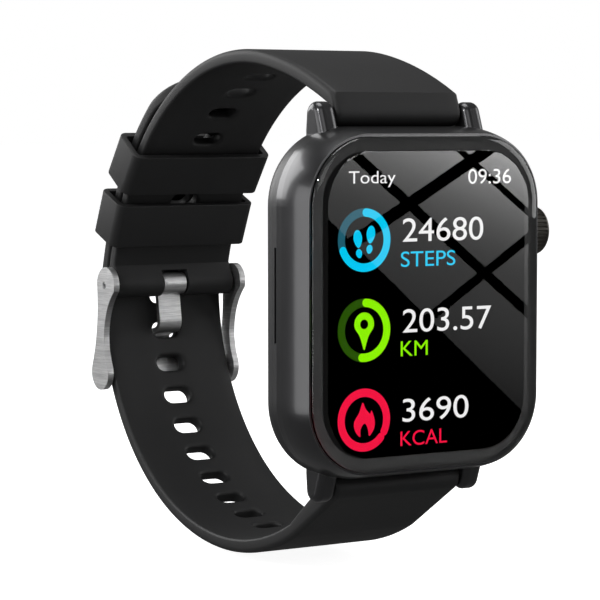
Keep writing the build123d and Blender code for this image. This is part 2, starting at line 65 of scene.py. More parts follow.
# ---- sizes the watch was designed with ----
GLASS_W, GLASS_H, GLASS_R = 35.0, 42.2, 8.7
GLASS_FRONT, GLASS_BACK = -11.9, -10.4
GLASS_DROP = 0.7                                # how far the glass edge curves back
BAR_Y, BAR_Z, BAR_HOLE = -3.6, 23.92, 0.8
BAR_REACH = 12.0                                # half length of the rods that cut bar holes
BOSS_R = 1.6
STRAP_HALF = 9.85
STRAP_T, PLY_GAP = 1.9, 0.1
LOOP_Y, LOOP_Z = 55.95, -2.0
UPPER_ARCS = [(4.0, 10.0), (45.0, 29.0), (36.5, 61.0), (57.5, 17.0)]
LOWER_ARCS = [(18.0, 4.0), (32.5, 64.0), (35.5, 49.5)]
TIP_ARC = 21.5
OVERLAP_ARCS = [UPPER_ARCS[0], UPPER_ARCS[1], (UPPER_ARCS[2][0], TIP_ARC)]
HEEL_Y, HEEL_Z, ROLL_R, HEEL_S = 53.8, -0.9, 1.9, 4.6
TONGUE_NOTCH = ((-2.15, -4.0, -4.5), (2.15, 3.2, 2.05))     # corners, from the heel's centre
TIP_CORNER = 7.0
SLOT_HALF, SLOT_R = 2.15, 1.15
UPPER_PITCH, UPPER_FIRST, UPPER_COUNT = 5.9, 9.2, 7
LOWER_PITCH, LOWER_FIRST, LOWER_COUNT = 5.1, -46.7, 15
KEEPER_W, KEEPER_T, KEEPER_H, KEEPER_WALL = 22.8, 6.4, 6.6, 0.95
KEEPER_CORNER, KEEPER_EDGE = 0.75, 0.14
KEEPER_LIFT = {"keeper_lower": 11.5, "keeper_upper": 20.6}
KNOB_X, PIN_TRAVEL = -7.2, 1.2
KNOB_NOTCH_SPARE, KNOB_NOTCH_DEEP, KNOB_NOTCH_HALF_Z = 1.8, 3.5, 0.9


# ================================================================ shader helpers
def shader(name):
    """A new material with an empty tree but for its output and one Principled shader."""
    mat = bpy.data.materials.new(name)
    mat.use_nodes = True
    tree = mat.node_tree
    bsdf = next(n for n in tree.nodes if n.type == "BSDF_PRINCIPLED")
    return mat, tree, bsdf


def node(tree, kind, **settings):
    """Adds a node and sets its plain properties."""
    made = tree.nodes.new(kind)
    for key, value in settings.items():
        setattr(made, key, value)
    return made


def math_node(tree, operation, first, second=None, clamp=False):
    """A math node fed by sockets or numbers; returns its output."""
    made = node(tree, "ShaderNodeMath", operation=operation, use_clamp=clamp)
    for slot, value in enumerate((first, second)):
        if value is None:
            continue
        if isinstance(value, (int, float)):
            made.inputs[slot].default_value = value
        else:
            tree.links.new(value, made.inputs[slot])
    return made.outputs[0]


def mix_colour(tree, factor, dark, light):
    """Blends two fixed colours by a mask; returns the colour output."""
    mix = node(tree, "ShaderNodeMix", data_type="RGBA")
    mix.inputs["A"].default_value = (*dark, 1)
    mix.inputs["B"].default_value = (*light, 1)
    tree.links.new(factor, mix.inputs["Factor"])
    return mix.outputs["Result"]


def ranged(tree, value, low, high):
    """Maps a 0 to 1 value onto low to high."""
    made = node(tree, "ShaderNodeMapRange")
    made.inputs["To Min"].default_value = low
    made.inputs["To Max"].default_value = high
    tree.links.new(value, made.inputs["Value"])
    return made.outputs["Result"]


def new_group(name, inputs, outputs):
    """A shader node group with float inputs and the named outputs."""
    tree = bpy.data.node_groups.new(name, "ShaderNodeTree")
    for label, value in inputs:
        socket = tree.interface.new_socket(label, in_out="INPUT", socket_type="NodeSocketFloat")
        socket.default_value = value
    for label in outputs:
        tree.interface.new_socket(label, in_out="OUTPUT", socket_type="NodeSocketFloat")
    return tree, node(tree, "NodeGroupInput"), node(tree, "NodeGroupOutput")


def noise_at(tree, vector, scale, detail=3.0, rough=0.55):
    """A noise texture read at a vector; the scale is a number or a socket."""
    made = node(tree, "ShaderNodeTexNoise")
    made.inputs["Detail"].default_value = detail
    made.inputs["Roughness"].default_value = rough
    tree.links.new(vector, made.inputs["Vector"])
    if isinstance(scale, (int, float)):
        made.inputs["Scale"].default_value = scale
    else:
        tree.links.new(scale, made.inputs["Scale"])
    return made.outputs["Fac"]


# ================================================================ shared finishes
def build_moulded_grain():
    """Fine tooth of a moulded or sprayed surface, with cloudy patches where hands polish it."""
    tree, entry, exit_ = new_group(
        "moulded_grain", [("Grain scale", 9000.0), ("Patch scale", 140.0)],
        ["Grain", "Patches", "Height"])
    where = node(tree, "ShaderNodeTexCoord").outputs["Object"]
    grain = noise_at(tree, where, entry.outputs["Grain scale"], 2.0)
    patches = noise_at(tree, where, entry.outputs["Patch scale"], 4.0)
    tree.links.new(grain, exit_.inputs["Grain"])
    tree.links.new(patches, exit_.inputs["Patches"])
    mixed = math_node(tree, "ADD", math_node(tree, "MULTIPLY", grain, 0.8),
                      math_node(tree, "MULTIPLY", patches, 0.2))
    tree.links.new(mixed, exit_.inputs["Height"])
    return tree


def build_brushed_lines():
    """Fine scratches drawn across the watch by an abrasive belt, with broader dull streaks."""
    tree, entry, exit_ = new_group(
        "brushed_lines", [("Line scale", 260.0), ("Stretch", 26.0)], ["Lines", "Streaks"])
    where = node(tree, "ShaderNodeTexCoord").outputs["Object"]
    split = node(tree, "ShaderNodeSeparateXYZ")
    join = node(tree, "ShaderNodeCombineXYZ")
    tree.links.new(where, split.inputs[0])
    for axis in ("X", "Y"):
        tree.links.new(split.outputs[axis], join.inputs[axis])
    stretched = math_node(tree, "MULTIPLY", split.outputs["Z"], entry.outputs["Stretch"])
    tree.links.new(stretched, join.inputs["Z"])
    lines = noise_at(tree, join.outputs[0], entry.outputs["Line scale"], 6.0, 0.7)
    streaks = noise_at(tree, join.outputs[0], 40.0, 2.0)
    tree.links.new(lines, exit_.inputs["Lines"])
    tree.links.new(streaks, exit_.inputs["Streaks"])
    return tree


def build_edge_wear():
    """A mask that is 1 on sharp edges, where the finish rubs through, broken up by noise."""
    tree, entry, exit_ = new_group("edge_wear", [("Width", 0.0003), ("Strength", 6.0)], ["Wear"])
    bevel = node(tree, "ShaderNodeBevel", samples=4)
    tree.links.new(entry.outputs["Width"], bevel.inputs["Radius"])
    plain = node(tree, "ShaderNodeNewGeometry").outputs["Normal"]
    dot = node(tree, "ShaderNodeVectorMath", operation="DOT_PRODUCT")
    tree.links.new(bevel.outputs["Normal"], dot.inputs[0])
    tree.links.new(plain, dot.inputs[1])
    edge = math_node(tree, "SUBTRACT", 1.0, dot.outputs["Value"], clamp=True)
    strong = math_node(tree, "MULTIPLY", edge, entry.outputs["Strength"], clamp=True)
    where = node(tree, "ShaderNodeTexCoord").outputs["Object"]
    broken = noise_at(tree, where, 900.0, 4.0)
    tree.links.new(math_node(tree, "MULTIPLY", strong, broken), exit_.inputs["Wear"])
    return tree


def build_touch_marks():
    """Faint finger smears on polished surfaces: a low, uneven dulling."""
    tree, entry, exit_ = new_group("touch_marks", [("Scale", 90.0)], ["Smear"])
    where = node(tree, "ShaderNodeTexCoord").outputs["Object"]
    cloud = noise_at(tree, where, entry.outputs["Scale"], 5.0, 0.6)
    tree.links.new(math_node(tree, "POWER", cloud, 2.0), exit_.inputs["Smear"])
    return tree


GROUPS = {
    "grain": build_moulded_grain(), "brush": build_brushed_lines(),
    "wear": build_edge_wear(), "smear": build_touch_marks(),
}


def use(tree, group, **values):
    """Places a shared finish in a material and sets its inputs by name."""
    made = node(tree, "ShaderNodeGroup", node_tree=GROUPS[group])
    for key, value in values.items():
        made.inputs[key.replace("_", " ")].default_value = value
    return made.outputs


def bumped(tree, bsdf, height, depth):
    """Feeds a height into the shader's normal; depth is in metres."""
    bump = node(tree, "ShaderNodeBump")
    bump.inputs["Strength"].default_value = 1.0
    bump.inputs["Distance"].default_value = depth
    tree.links.new(height, bump.inputs["Height"])
    tree.links.new(bump.outputs["Normal"], bsdf.inputs["Normal"])


def moulded(name, dark, light, rough_low, rough_high, depth, grain_scale=9000.0, specular=0.5):
    """Moulded or sprayed plastic and rubber."""
    mat, tree, bsdf = shader(name)
    grain = use(tree, "grain", Grain_scale=grain_scale)
    tree.links.new(mix_colour(tree, grain["Patches"], dark, light), bsdf.inputs["Base Color"])
    tree.links.new(ranged(tree, grain["Grain"], rough_low, rough_high), bsdf.inputs["Roughness"])
    bsdf.inputs["Specular IOR Level"].default_value = specular
    bumped(tree, bsdf, grain["Height"], depth)
    return mat


def plated(name, dark, light, rough_low, rough_high, line_scale=260.0, stretch=26.0, depth=4e-6):
    """Bare metal with belt lines."""
    mat, tree, bsdf = shader(name)
    brush = use(tree, "brush", Line_scale=line_scale, Stretch=stretch)
    blend = math_node(tree, "ADD", math_node(tree, "MULTIPLY", brush["Lines"], 0.65),
                      math_node(tree, "MULTIPLY", brush["Streaks"], 0.35))
    spread = ranged(tree, blend, -1.1, 2.1)
    tree.links.new(mix_colour(tree, spread, dark, light), bsdf.inputs["Base Color"])
    tree.links.new(ranged(tree, brush["Lines"], rough_low, rough_high), bsdf.inputs["Roughness"])
    bsdf.inputs["Metallic"].default_value = 1.0
    bumped(tree, bsdf, brush["Lines"], depth)
    return mat


def lacquered(name, dark, light, worn, rough_low, rough_high, coat, metallic):
    """Metal under a dark glossy coat, rubbed paler at its edges."""
    mat, tree, bsdf = shader(name)
    grain = use(tree, "grain", Grain_scale=14000.0, Patch_scale=220.0)
    wear = use(tree, "wear", Width=0.00022, Strength=3.0)
    smear = use(tree, "smear", Scale=150.0)
    base = mix_colour(tree, grain["Patches"], dark, light)
    mix = node(tree, "ShaderNodeMix", data_type="RGBA")
    mix.inputs["B"].default_value = (*worn, 1)
    tree.links.new(base, mix.inputs["A"])
    tree.links.new(wear["Wear"], mix.inputs["Factor"])
    tree.links.new(mix.outputs["Result"], bsdf.inputs["Base Color"])
    tree.links.new(ranged(tree, smear["Smear"], rough_low, rough_high), bsdf.inputs["Roughness"])
    bsdf.inputs["Metallic"].default_value = metallic
    bsdf.inputs["Coat Weight"].default_value = coat
    bsdf.inputs["Coat Roughness"].default_value = 0.12
    bumped(tree, bsdf, grain["Height"], 1.2e-6)
    return mat


def clear_glass(name, tint, haze):
    """Polished glass with a little handling haze."""
    mat, tree, bsdf = shader(name)
    smear = use(tree, "smear", Scale=70.0)
    bsdf.inputs["Base Color"].default_value = (*tint, 1)
    bsdf.inputs["Transmission Weight"].default_value = 1.0
    bsdf.inputs["IOR"].default_value = 1.5
    tree.links.new(ranged(tree, smear["Smear"], 0.0, haze), bsdf.inputs["Roughness"])
    return mat


def lit(name, colour, strength):
    """One colour of the lit picture, with the faint row structure of the panel's dots."""
    mat, tree, bsdf = shader(name)
    where = node(tree, "ShaderNodeTexCoord").outputs["Object"]
    rows = node(tree, "ShaderNodeTexWave", wave_type="BANDS", bands_direction="Z")
    rows.inputs["Scale"].default_value = 3000.0
    tree.links.new(where, rows.inputs["Vector"])
    dim = tuple(channel * 0.88 for channel in colour)
    tree.links.new(mix_colour(tree, rows.outputs["Fac"], dim, colour),
                   bsdf.inputs["Emission Color"])
    bsdf.inputs["Base Color"].default_value = (0.004, 0.004, 0.004, 1)
    bsdf.inputs["Emission Strength"].default_value = strength
    bsdf.inputs["Specular IOR Level"].default_value = 0.05
    bsdf.inputs["Roughness"].default_value = 0.4
    return mat


FINISH = {
    "dark_frame_lacquer": lacquered("dark_frame_lacquer", (0.036, 0.036, 0.038),
                                    (0.046, 0.046, 0.048), (0.17, 0.17, 0.175), 0.28, 0.36,
                                    0.5, 0.8),
    "crown_lacquer": lacquered("crown_lacquer", (0.034, 0.031, 0.027), (0.050, 0.046, 0.040),
                               (0.16, 0.15, 0.13), 0.32, 0.45, 0.1, 0.85),
    "back_shell_plastic": moulded("back_shell_plastic", (0.006, 0.006, 0.007),
                                  (0.012, 0.012, 0.013), 0.36, 0.50, 6e-6),
    "black_silicone": moulded("black_silicone", (0.0105, 0.0105, 0.0108), (0.0145, 0.0145, 0.0149),
                              0.48, 0.60, 5e-6, 7000.0, 0.28),
    "black_ink": moulded("black_ink", (0.0012, 0.0012, 0.0013), (0.0020, 0.0020, 0.0021),
                         0.25, 0.35, 1e-6),
    "soft_seal": moulded("soft_seal", (0.010, 0.010, 0.010), (0.018, 0.018, 0.018), 0.6, 0.8,
                         6e-6),
    "chassis_plastic": moulded("chassis_plastic", (0.03, 0.03, 0.033), (0.05, 0.05, 0.054),
                               0.4, 0.6, 8e-6),
    "chip_moulding": moulded("chip_moulding", (0.012, 0.012, 0.012), (0.022, 0.022, 0.022),
                             0.5, 0.7, 8e-6),
    "solder_mask": moulded("solder_mask", (0.006, 0.05, 0.03), (0.012, 0.09, 0.055), 0.2, 0.35,
                           3e-6),
    "amber_film": moulded("amber_film", (0.30, 0.13, 0.02), (0.42, 0.20, 0.04), 0.2, 0.35, 2e-6),
    "battery_foil": moulded("battery_foil", (0.42, 0.43, 0.45), (0.55, 0.56, 0.58), 0.25, 0.45,
                            2e-5, 1500.0),
    "green_lens": moulded("green_lens", (0.05, 0.22, 0.09), (0.08, 0.32, 0.14), 0.1, 0.2, 1e-6),
    "brushed_steel": plated("brushed_steel", (0.52, 0.52, 0.525), (0.97, 0.97, 0.97), 0.32, 0.48,
                            330.0, 30.0, 7e-6),
    "turned_steel": plated("turned_steel", (0.36, 0.36, 0.37), (0.62, 0.62, 0.63), 0.18, 0.32,
                           600.0, 4.0),
    "blackened_mesh": plated("blackened_mesh", (0.02, 0.02, 0.02), (0.06, 0.06, 0.06), 0.4, 0.6),
    "gold_plate": plated("gold_plate", (0.62, 0.40, 0.12), (0.85, 0.60, 0.24), 0.16, 0.3, 500.0,
                         8.0),
    "front_glass": clear_glass("front_glass", (1.0, 1.0, 1.0), 0.02),
    "smoked_window": clear_glass("smoked_window", (0.22, 0.22, 0.24), 0.04),
    "white_light": lit("white_light", (0.93, 0.93, 0.93), 1.0),
    "blue_light": lit("blue_light", (0.0, 0.62, 0.95), 1.0),
    "blue_faint": lit("blue_faint", (0.012, 0.11, 0.16), 1.0),
    "green_light": lit("green_light", (0.28, 0.95, 0.0), 1.0),
    "green_faint": lit("green_faint", (0.02, 0.085, 0.0), 1.0),
    "red_light": lit("red_light", (0.95, 0.006, 0.055), 1.0),
}

CAD_FINISH = {
    "front_frame": "dark_frame_lacquer", "rear_shell": "back_shell_plastic",
    "lug_12_left": "dark_frame_lacquer", "lug_12_right": "dark_frame_lacquer",
    "lug_6_left": "dark_frame_lacquer", "lug_6_right": "dark_frame_lacquer",
    "front_glass": "front_glass", "glass_adhesive": "soft_seal", "display_panel": "black_ink",
    "display_flex": "amber_film", "rear_seal": "soft_seal", "lug_screws": "turned_steel",
    "shell_screws": "turned_steel", "inner_chassis": "chassis_plastic",
    "battery": "battery_foil", "main_board": "solder_mask", "board_chips": "chip_moulding",
    "vibration_motor": "turned_steel", "microphone": "turned_steel",
    "speaker": "chip_moulding", "speaker_mesh": "blackened_mesh",
    "sensor_window": "smoked_window", "sensor_board": "solder_mask",
    "sensor_lamps": "green_lens", "charge_contacts": "gold_plate",
    "charge_magnets": "turned_steel", "crown_bushing": "gold_plate",
    "crown_switch": "chip_moulding", "crown_plunger": "turned_steel",
    "crown_stem": "turned_steel", "crown_ring": "soft_seal", "crown_cap": "crown_lacquer",
    "spring_bar_12": "turned_steel", "spring_bar_6": "turned_steel",
    "release_pin_12": "turned_steel", "release_pin_6": "turned_steel",
    "plain_pin_12": "turned_steel", "plain_pin_6": "turned_steel",
    "buckle_bar": "turned_steel", "buckle_pin_left": "turned_steel",
    "buckle_pin_right": "turned_steel", "buckle_frame": "brushed_steel",
    "buckle_tongue": "brushed_steel", "strap_upper": "black_silicone",
    "strap_lower": "black_silicone", "keeper_upper": "black_silicone",
    "keeper_lower": "black_silicone",
}
for name, finish_name in CAD_FINISH.items():
    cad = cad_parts[name]
    cad.data.materials.clear()
    cad.data.materials.append(FINISH[finish_name])


# ================================================================ mesh helpers
def to_object(bm, name, finish_name, smooth=True):
    """Turns a bmesh drawn in millimetres into an object in metres with its finish."""
    bmesh.ops.scale(bm, vec=(MM, MM, MM), verts=bm.verts)
    for face in bm.faces:
        face.smooth = smooth
    mesh = bpy.data.meshes.new(name)
    bm.to_mesh(mesh)
    bm.free()
    mesh.materials.append(FINISH[finish_name])
    made = bpy.data.objects.new(name, mesh)
    scene.collection.objects.link(made)
    return made


def bake_modifiers(obj):
    """Replaces an object's mesh with the result of its modifiers."""
    bpy.context.view_layer.update()
    graph = bpy.context.evaluated_depsgraph_get()
    mesh = bpy.data.meshes.new_from_object(obj.evaluated_get(graph))
    obj.modifiers.clear()
    obj.data = mesh
    return obj


def box_cutter(low, high):
    """A plain box between two corners in millimetres, used to cut with."""
    bm = bmesh.new()
    bmesh.ops.create_cube(bm, size=1.0)
    low, high = Vector(low), Vector(high)
    bmesh.ops.scale(bm, vec=high - low, verts=bm.verts)
    bmesh.ops.translate(bm, vec=(low + high) / 2, verts=bm.verts)
    return to_object(bm, "cutter", "black_silicone")


def rod_cutter(y, z, radius, half):
    """A rod along X through a point, used to cut with."""
    bm = bmesh.new()
    bmesh.ops.create_cone(bm, cap_ends=True, segments=32, radius1=radius, radius2=radius,
                          depth=2 * half)
    for vert in bm.verts:
        vert.co = Vector((vert.co.z, y + vert.co.x, z + vert.co.y))
    bmesh.ops.recalc_face_normals(bm, faces=bm.faces)
    return to_object(bm, "cutter", "black_silicone")


def cut(obj, cutters):
    """Cuts solids out of an object and removes the cutters."""
    for cutter in cutters:
        step = obj.modifiers.new("cut", "BOOLEAN")
        step.operation, step.solver, step.object = "DIFFERENCE", "EXACT", cutter
    bake_modifiers(obj)
    for cutter in cutters:
        bpy.data.objects.remove(cutter)
    for polygon in obj.data.polygons:
        polygon.use_smooth = True
    obj.data.set_sharp_from_angle(angle=CUT_SHARP)
    return obj


# ================================================================ the silicone strap halves
def walk(arcs, distance, side):
    """The point and outward direction a distance along the loop; side 1 goes up, -1 down."""
    y, z, heading = LOOP_Y, 0.0, 90.0
    for radius, turn in arcs:
        step = min(turn, degrees(distance / radius))
        centre_y = y - radius * sin(radians(heading))
        centre_z = z + radius * cos(radians(heading))
        heading += step
        y = centre_y + radius * sin(radians(heading))
        z = centre_z - radius * cos(radians(heading))
        distance -= radius * radians(step)
        if distance < 1e-6:
            break
    outward = Vector((0, sin(radians(heading)), -side * cos(radians(heading))))
    return Vector((0, y, LOOP_Z + side * z)), outward


def loop_point(s):
    """The loop at s: positive up through the overlap, negative down the lower half."""
    return walk(UPPER_ARCS, s, 1) if s >= 0 else walk(LOWER_ARCS, -s, -1)


def arc_length(arcs):
    """The whole length of a run of (radius, degrees) arcs."""
    return sum(radius * radians(turn) for radius, turn in arcs)


def tangent_angle(point, centre, radius, turn):
    """The angle on a circle where the line from a point touches it, on the chosen side."""
    away = point - centre
    return atan2(away.z, away.y) + turn * acos(min(1.0, radius / away.length))


def on_circle(centre, radius, angle):
    """A point on a circle seen from the side, the angle measured from +Y towards +Z."""
    return centre + Vector((0, radius * cos(angle), radius * sin(angle)))


def rolled_end(low, high, centre, radius, turn, runs=5, rounds=9):
    """Pairs of low and high points that carry a layer on to a boss and close round it."""
    high_angle = tangent_angle(high, centre, radius, turn)
    low_angle = tangent_angle(low, centre, radius, -turn)
    high_touch = on_circle(centre, radius, high_angle)
    low_touch = on_circle(centre, radius, low_angle)
    pairs = []
    for step in range(1, runs + 1):
        share = step / runs
        pairs.append((low.lerp(low_touch, share), high.lerp(high_touch, share)))
    swing = (low_angle - high_angle) * turn % (2 * pi)
    for step in range(1, rounds):
        share = step / rounds * 0.5 * swing
        pairs.append((on_circle(centre, radius, low_angle - turn * share),
                      on_circle(centre, radius, high_angle + turn * share)))
    return pairs


ZONE = 3.2          # half width of the middle strip that carries the slots
ZONE_COLUMNS = 8
CELL_ROWS = 10
TOP_ROUND, INNER_ROUND = 0.75, 0.35
RIM_STEPS = [(0.62, 0.0), (0.42, 0.02), (0.25, 0.08), (0.12, 0.18), (0.03, 0.32), (0.0, 0.48)]


def cross_section(half, thickness):
    """Points round a strap section as (x, depth below the outer face), starting at the zone."""
    outer = min(TOP_ROUND, 0.45 * thickness, half * 0.5)
    inner = min(INNER_ROUND, 0.3 * thickness)
    zone = ZONE * half / STRAP_HALF
    side = [(zone + (half - outer - zone) * share, 0.0) for share in (0.35, 0.7, 1.0)]
    side += [(half - outer + outer * sin(a), outer - outer * cos(a))
             for a in (radians(15 * k) for k in range(1, 7))]
    side += [(half, thickness * 0.55)]
    side += [(half - inner + inner * cos(a), thickness - inner + inner * sin(a))
             for a in (radians(22.5 * k) for k in range(0, 5))]
    side += [(zone + (half - inner - zone) * share, thickness) for share in (0.7, 0.35)]
    columns = [zone * (2 * k / ZONE_COLUMNS - 1) for k in range(ZONE_COLUMNS + 1)]
    return ([(x, 0.0) for x in columns] + side + [(x, thickness) for x in reversed(columns)]
            + [(-x, d) for x, d in reversed(side)])


def cell_outline(first, left, right):
    """Grid places round one slot cell as (row, column), from its first row's left corner."""
    step = 1 if right > left else -1
    last = first + CELL_ROWS
    return ([(first, column) for column in range(left, right, step)]
            + [(row, right) for row in range(first, last)]
            + [(last, column) for column in range(right, left, -step)]
            + [(row, left) for row in range(last, first, -1)])


def offsets(station):
    """The inner and outer offsets of a layer from the loop, read from one of its stations."""
    low, high, _, s = station
    point, outward = loop_point(s)
    return (low - point).dot(outward), (high - point).dot(outward)


def slot_walls(bm, rows, stations, first, s_mid, bottom_start):
    """Fills one open cell on both faces with rounded rims and the wall of its slot."""
    top_places = cell_outline(first, 0, ZONE_COLUMNS)
    bottom_places = cell_outline(first, bottom_start + ZONE_COLUMNS, bottom_start)
    top_rings = [[rows[r][c] for r, c in top_places]]
    bottom_rings = [[rows[r][c] for r, c in bottom_places]]
    low_off, high_off = offsets(stations[first])
    core = SLOT_HALF - SLOT_R
    for out, depth in RIM_STEPS:
        top, bottom = [], []
        for r, c in top_places:
            x = rows[r][c].co.x
            foot = max(-core, min(core, x))
            away = Vector((x - foot, stations[r][3] - s_mid)).normalized() * (SLOT_R + out)
            point, outward = loop_point(s_mid + away.y)
            sideways = Vector((foot + away.x, 0, 0))
            top.append(bm.verts.new(point + outward * (high_off - depth) + sideways))
            bottom.append(bm.verts.new(point + outward * (low_off + depth) + sideways))
        top_rings.append(top)
        bottom_rings.append(bottom)
    chain = top_rings + list(reversed(bottom_rings))
    size = len(top_places)
    for ring_a, ring_b in zip(chain, chain[1:]):
        for k in range(size):
            m = (k + 1) % size
            bm.faces.new((ring_a[k], ring_a[m], ring_b[m], ring_b[k]))


def band(name, stations, cells, finish_name):
    """A strap half: sections joined along its length, with soft rimmed slots in its cells.

    A station is (low point, high point, half width, s). Cells are (first row, slot's s).
    """
    bm = bmesh.new()
    rows = []
    for low, high, half, s in stations:
        inward = low - high
        thickness = inward.length
        inward.normalize()
        rows.append([bm.verts.new(high + inward * depth + Vector((x, 0, 0)))
                     for x, depth in cross_section(half, thickness)])
    count = len(rows[0])
    bottom_start = count // 2
    open_rows = {row for first, _ in cells for row in range(first, first + CELL_ROWS)}
    zone_columns = set(range(ZONE_COLUMNS))
    zone_columns |= set(range(bottom_start, bottom_start + ZONE_COLUMNS))
    for r in range(len(rows) - 1):
        for c in range(count):
            if r in open_rows and c in zone_columns:
                continue
            d = (c + 1) % count
            bm.faces.new((rows[r][c], rows[r][d], rows[r + 1][d], rows[r + 1][c]))
    bm.faces.new(list(reversed(rows[0])))
    bm.faces.new(rows[-1])
    for first, s_mid in cells:
        slot_walls(bm, rows, stations, first, s_mid, bottom_start)
    bmesh.ops.remove_doubles(bm, verts=bm.verts, dist=1e-5)
    bmesh.ops.recalc_face_normals(bm, faces=bm.faces)
    return to_object(bm, name, finish_name)


def layer_stations(starts, low_off, high_off, half_at):
    """Stations on the loop for a sorted list of s."""
    made = []
    for s in starts:
        point, outward = loop_point(s)
        made.append((point + outward * low_off, point + outward * high_off, half_at(s), s))
    return made


def fill(first, last, step=0.8):
    """Evenly spaced values from first up to, but not including, last."""
    count = max(1, ceil((last - first) / step))
    return [first + (last - first) * k / count for k in range(count)]


def cell_rows(slot_positions, pitch):
    """Rows for a run of slot cells that touch, and the place of each cell's first row."""
    rows, cells = [], []
    for s in slot_positions:
        cells.append((len(rows), s))
        rows += [s - pitch / 2 + pitch * k / CELL_ROWS for k in range(CELL_ROWS)]
    rows.append(slot_positions[-1] + pitch / 2)
    return rows, cells


def make_upper_strap():
    """The buckle half: the inner layer, from its roll round the buckle bar to the case."""
    low_off, high_off = -PLY_GAP / 2 - STRAP_T, -PLY_GAP / 2
    slots = [UPPER_FIRST + UPPER_PITCH * n for n in range(UPPER_COUNT)]
    rows, cells = cell_rows(slots, UPPER_PITCH)
    end_s = arc_length(UPPER_ARCS)
    lead_in = fill(HEEL_S, rows[0], 0.6)
    starts = lead_in + rows + fill(rows[-1], end_s)[1:] + [end_s]
    stations = layer_stations(starts, low_off, high_off, lambda s: STRAP_HALF)
    heel = rolled_end(stations[0][0], stations[0][1], Vector((0, HEEL_Y, HEEL_Z)), ROLL_R, -1)
    root = rolled_end(stations[-1][0], stations[-1][1], Vector((0, BAR_Y, BAR_Z)), BOSS_R, 1)
    front = [(low, high, STRAP_HALF, 0.0) for low, high in reversed(heel)]
    back = [(low, high, STRAP_HALF, 0.0) for low, high in root]
    cells = [(first + len(lead_in) + len(front), s) for first, s in cells]
    strap = band("strap_upper_silicone", front + stations + back, cells, "black_silicone")
    heel_centre = Vector((0, HEEL_Y, HEEL_Z))
    notch_low, notch_high = (heel_centre + Vector(corner) for corner in TONGUE_NOTCH)
    cutters = [
        box_cutter(notch_low, notch_high),
        rod_cutter(HEEL_Y, HEEL_Z, BAR_HOLE, BAR_REACH),
    ] + bar_cutters(1)
    return cut(strap, cutters)


def bar_cutters(up):
    """The spring bar's hole and the finger notch for its release knob."""
    z = up * BAR_Z
    notch_x = KNOB_X + PIN_TRAVEL / 2
    notch = (PIN_TRAVEL + KNOB_NOTCH_SPARE) / 2
    return [
        rod_cutter(BAR_Y, z, BAR_HOLE, BAR_REACH),
        box_cutter((notch_x - notch, BAR_Y, z - KNOB_NOTCH_HALF_Z),
                   (notch_x + notch, BAR_Y + KNOB_NOTCH_DEEP, z + KNOB_NOTCH_HALF_Z)),
    ]


def make_lower_strap():
    """The slotted half: from the case under the wrist and over the upper half to its round tip."""
    low_off, high_off = PLY_GAP / 2, PLY_GAP / 2 + STRAP_T
    slots = [LOWER_FIRST + LOWER_PITCH * n for n in range(LOWER_COUNT)]
    rows, cells = cell_rows(slots, LOWER_PITCH)
    tip_s, root_s = arc_length(OVERLAP_ARCS), -arc_length(LOWER_ARCS)

    def half_at(s):
        """The strap narrows round its tip's corners."""
        left = tip_s - s
        if left > TIP_CORNER:
            return STRAP_HALF
        drop = (TIP_CORNER ** 2 - (TIP_CORNER - left) ** 2) ** 0.5
        return STRAP_HALF - TIP_CORNER + drop

    tail = [tip_s - TIP_CORNER * (1 - sin(radians(a))) for a in range(10, 90, 8)]
    tail = [s for s in tail if s > rows[-1] + 0.2]
    lead_in = fill(root_s, rows[0])
    starts = lead_in + rows + fill(rows[-1], tail[0])[1:] + tail
    stations = layer_stations(starts, low_off, high_off, half_at)
    nose = []
    for share in (0.0, 0.3, 0.55, 0.8, 0.95):
        s = tip_s - TOP_ROUND * (1 - share)
        point, outward = loop_point(s)
        tuck = TOP_ROUND * (1 - (1 - share ** 2) ** 0.5)
        nose.append((point + outward * (low_off + 0.4 * tuck), point + outward * (high_off - tuck),
                     half_at(s), 0.0))
    stations = [st for st in stations if st[3] < tip_s - TOP_ROUND - 0.02] + nose
    root = rolled_end(stations[0][0], stations[0][1], Vector((0, BAR_Y, -BAR_Z)), BOSS_R, -1)
    front = [(low, high, STRAP_HALF, 0.0) for low, high in reversed(root)]
    cells = [(first + len(lead_in) + len(front), s) for first, s in cells]
    strap = band("strap_lower_silicone", front + stations, cells, "black_silicone")
    return cut(strap, bar_cutters(-1))


upper = make_upper_strap()
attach(upper, "watch")
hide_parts("strap_upper")
lower = make_lower_strap()
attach(lower, "watch")
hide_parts("strap_lower")


# ================================================================ geometry node helpers
def node_modifier(name, finish_name, inputs, build):
    """Runs a geometry node tree once and returns its result as a plain mesh object.

    build(tree, entry) adds the nodes and returns the geometry output to finish with.
    """
    tree = bpy.data.node_groups.new(name, "GeometryNodeTree")
    tree.interface.new_socket("Geometry", in_out="OUTPUT", socket_type="NodeSocketGeometry")
    sockets = {}
    for label, value in inputs.items():
        kind = "NodeSocketInt" if isinstance(value, int) else "NodeSocketFloat"
        sockets[label] = tree.interface.new_socket(label, in_out="INPUT", socket_type=kind)
    entry = node(tree, "NodeGroupInput")
    result = build(tree, entry)
    real = node(tree, "GeometryNodeRealizeInstances")
    paint = node(tree, "GeometryNodeSetMaterial")
    paint.inputs["Material"].default_value = FINISH[finish_name]
    end = node(tree, "NodeGroupOutput")
    tree.links.new(result, real.inputs[0])
    tree.links.new(real.outputs[0], paint.inputs["Geometry"])
    tree.links.new(paint.outputs[0], end.inputs[0])
    made = bpy.data.objects.new(name, bpy.data.meshes.new(name))
    scene.collection.objects.link(made)
    step = made.modifiers.new(name, "NODES")
    step.node_group = tree
    for label, value in inputs.items():
        step[sockets[label].identifier] = value
    return bake_modifiers(made)


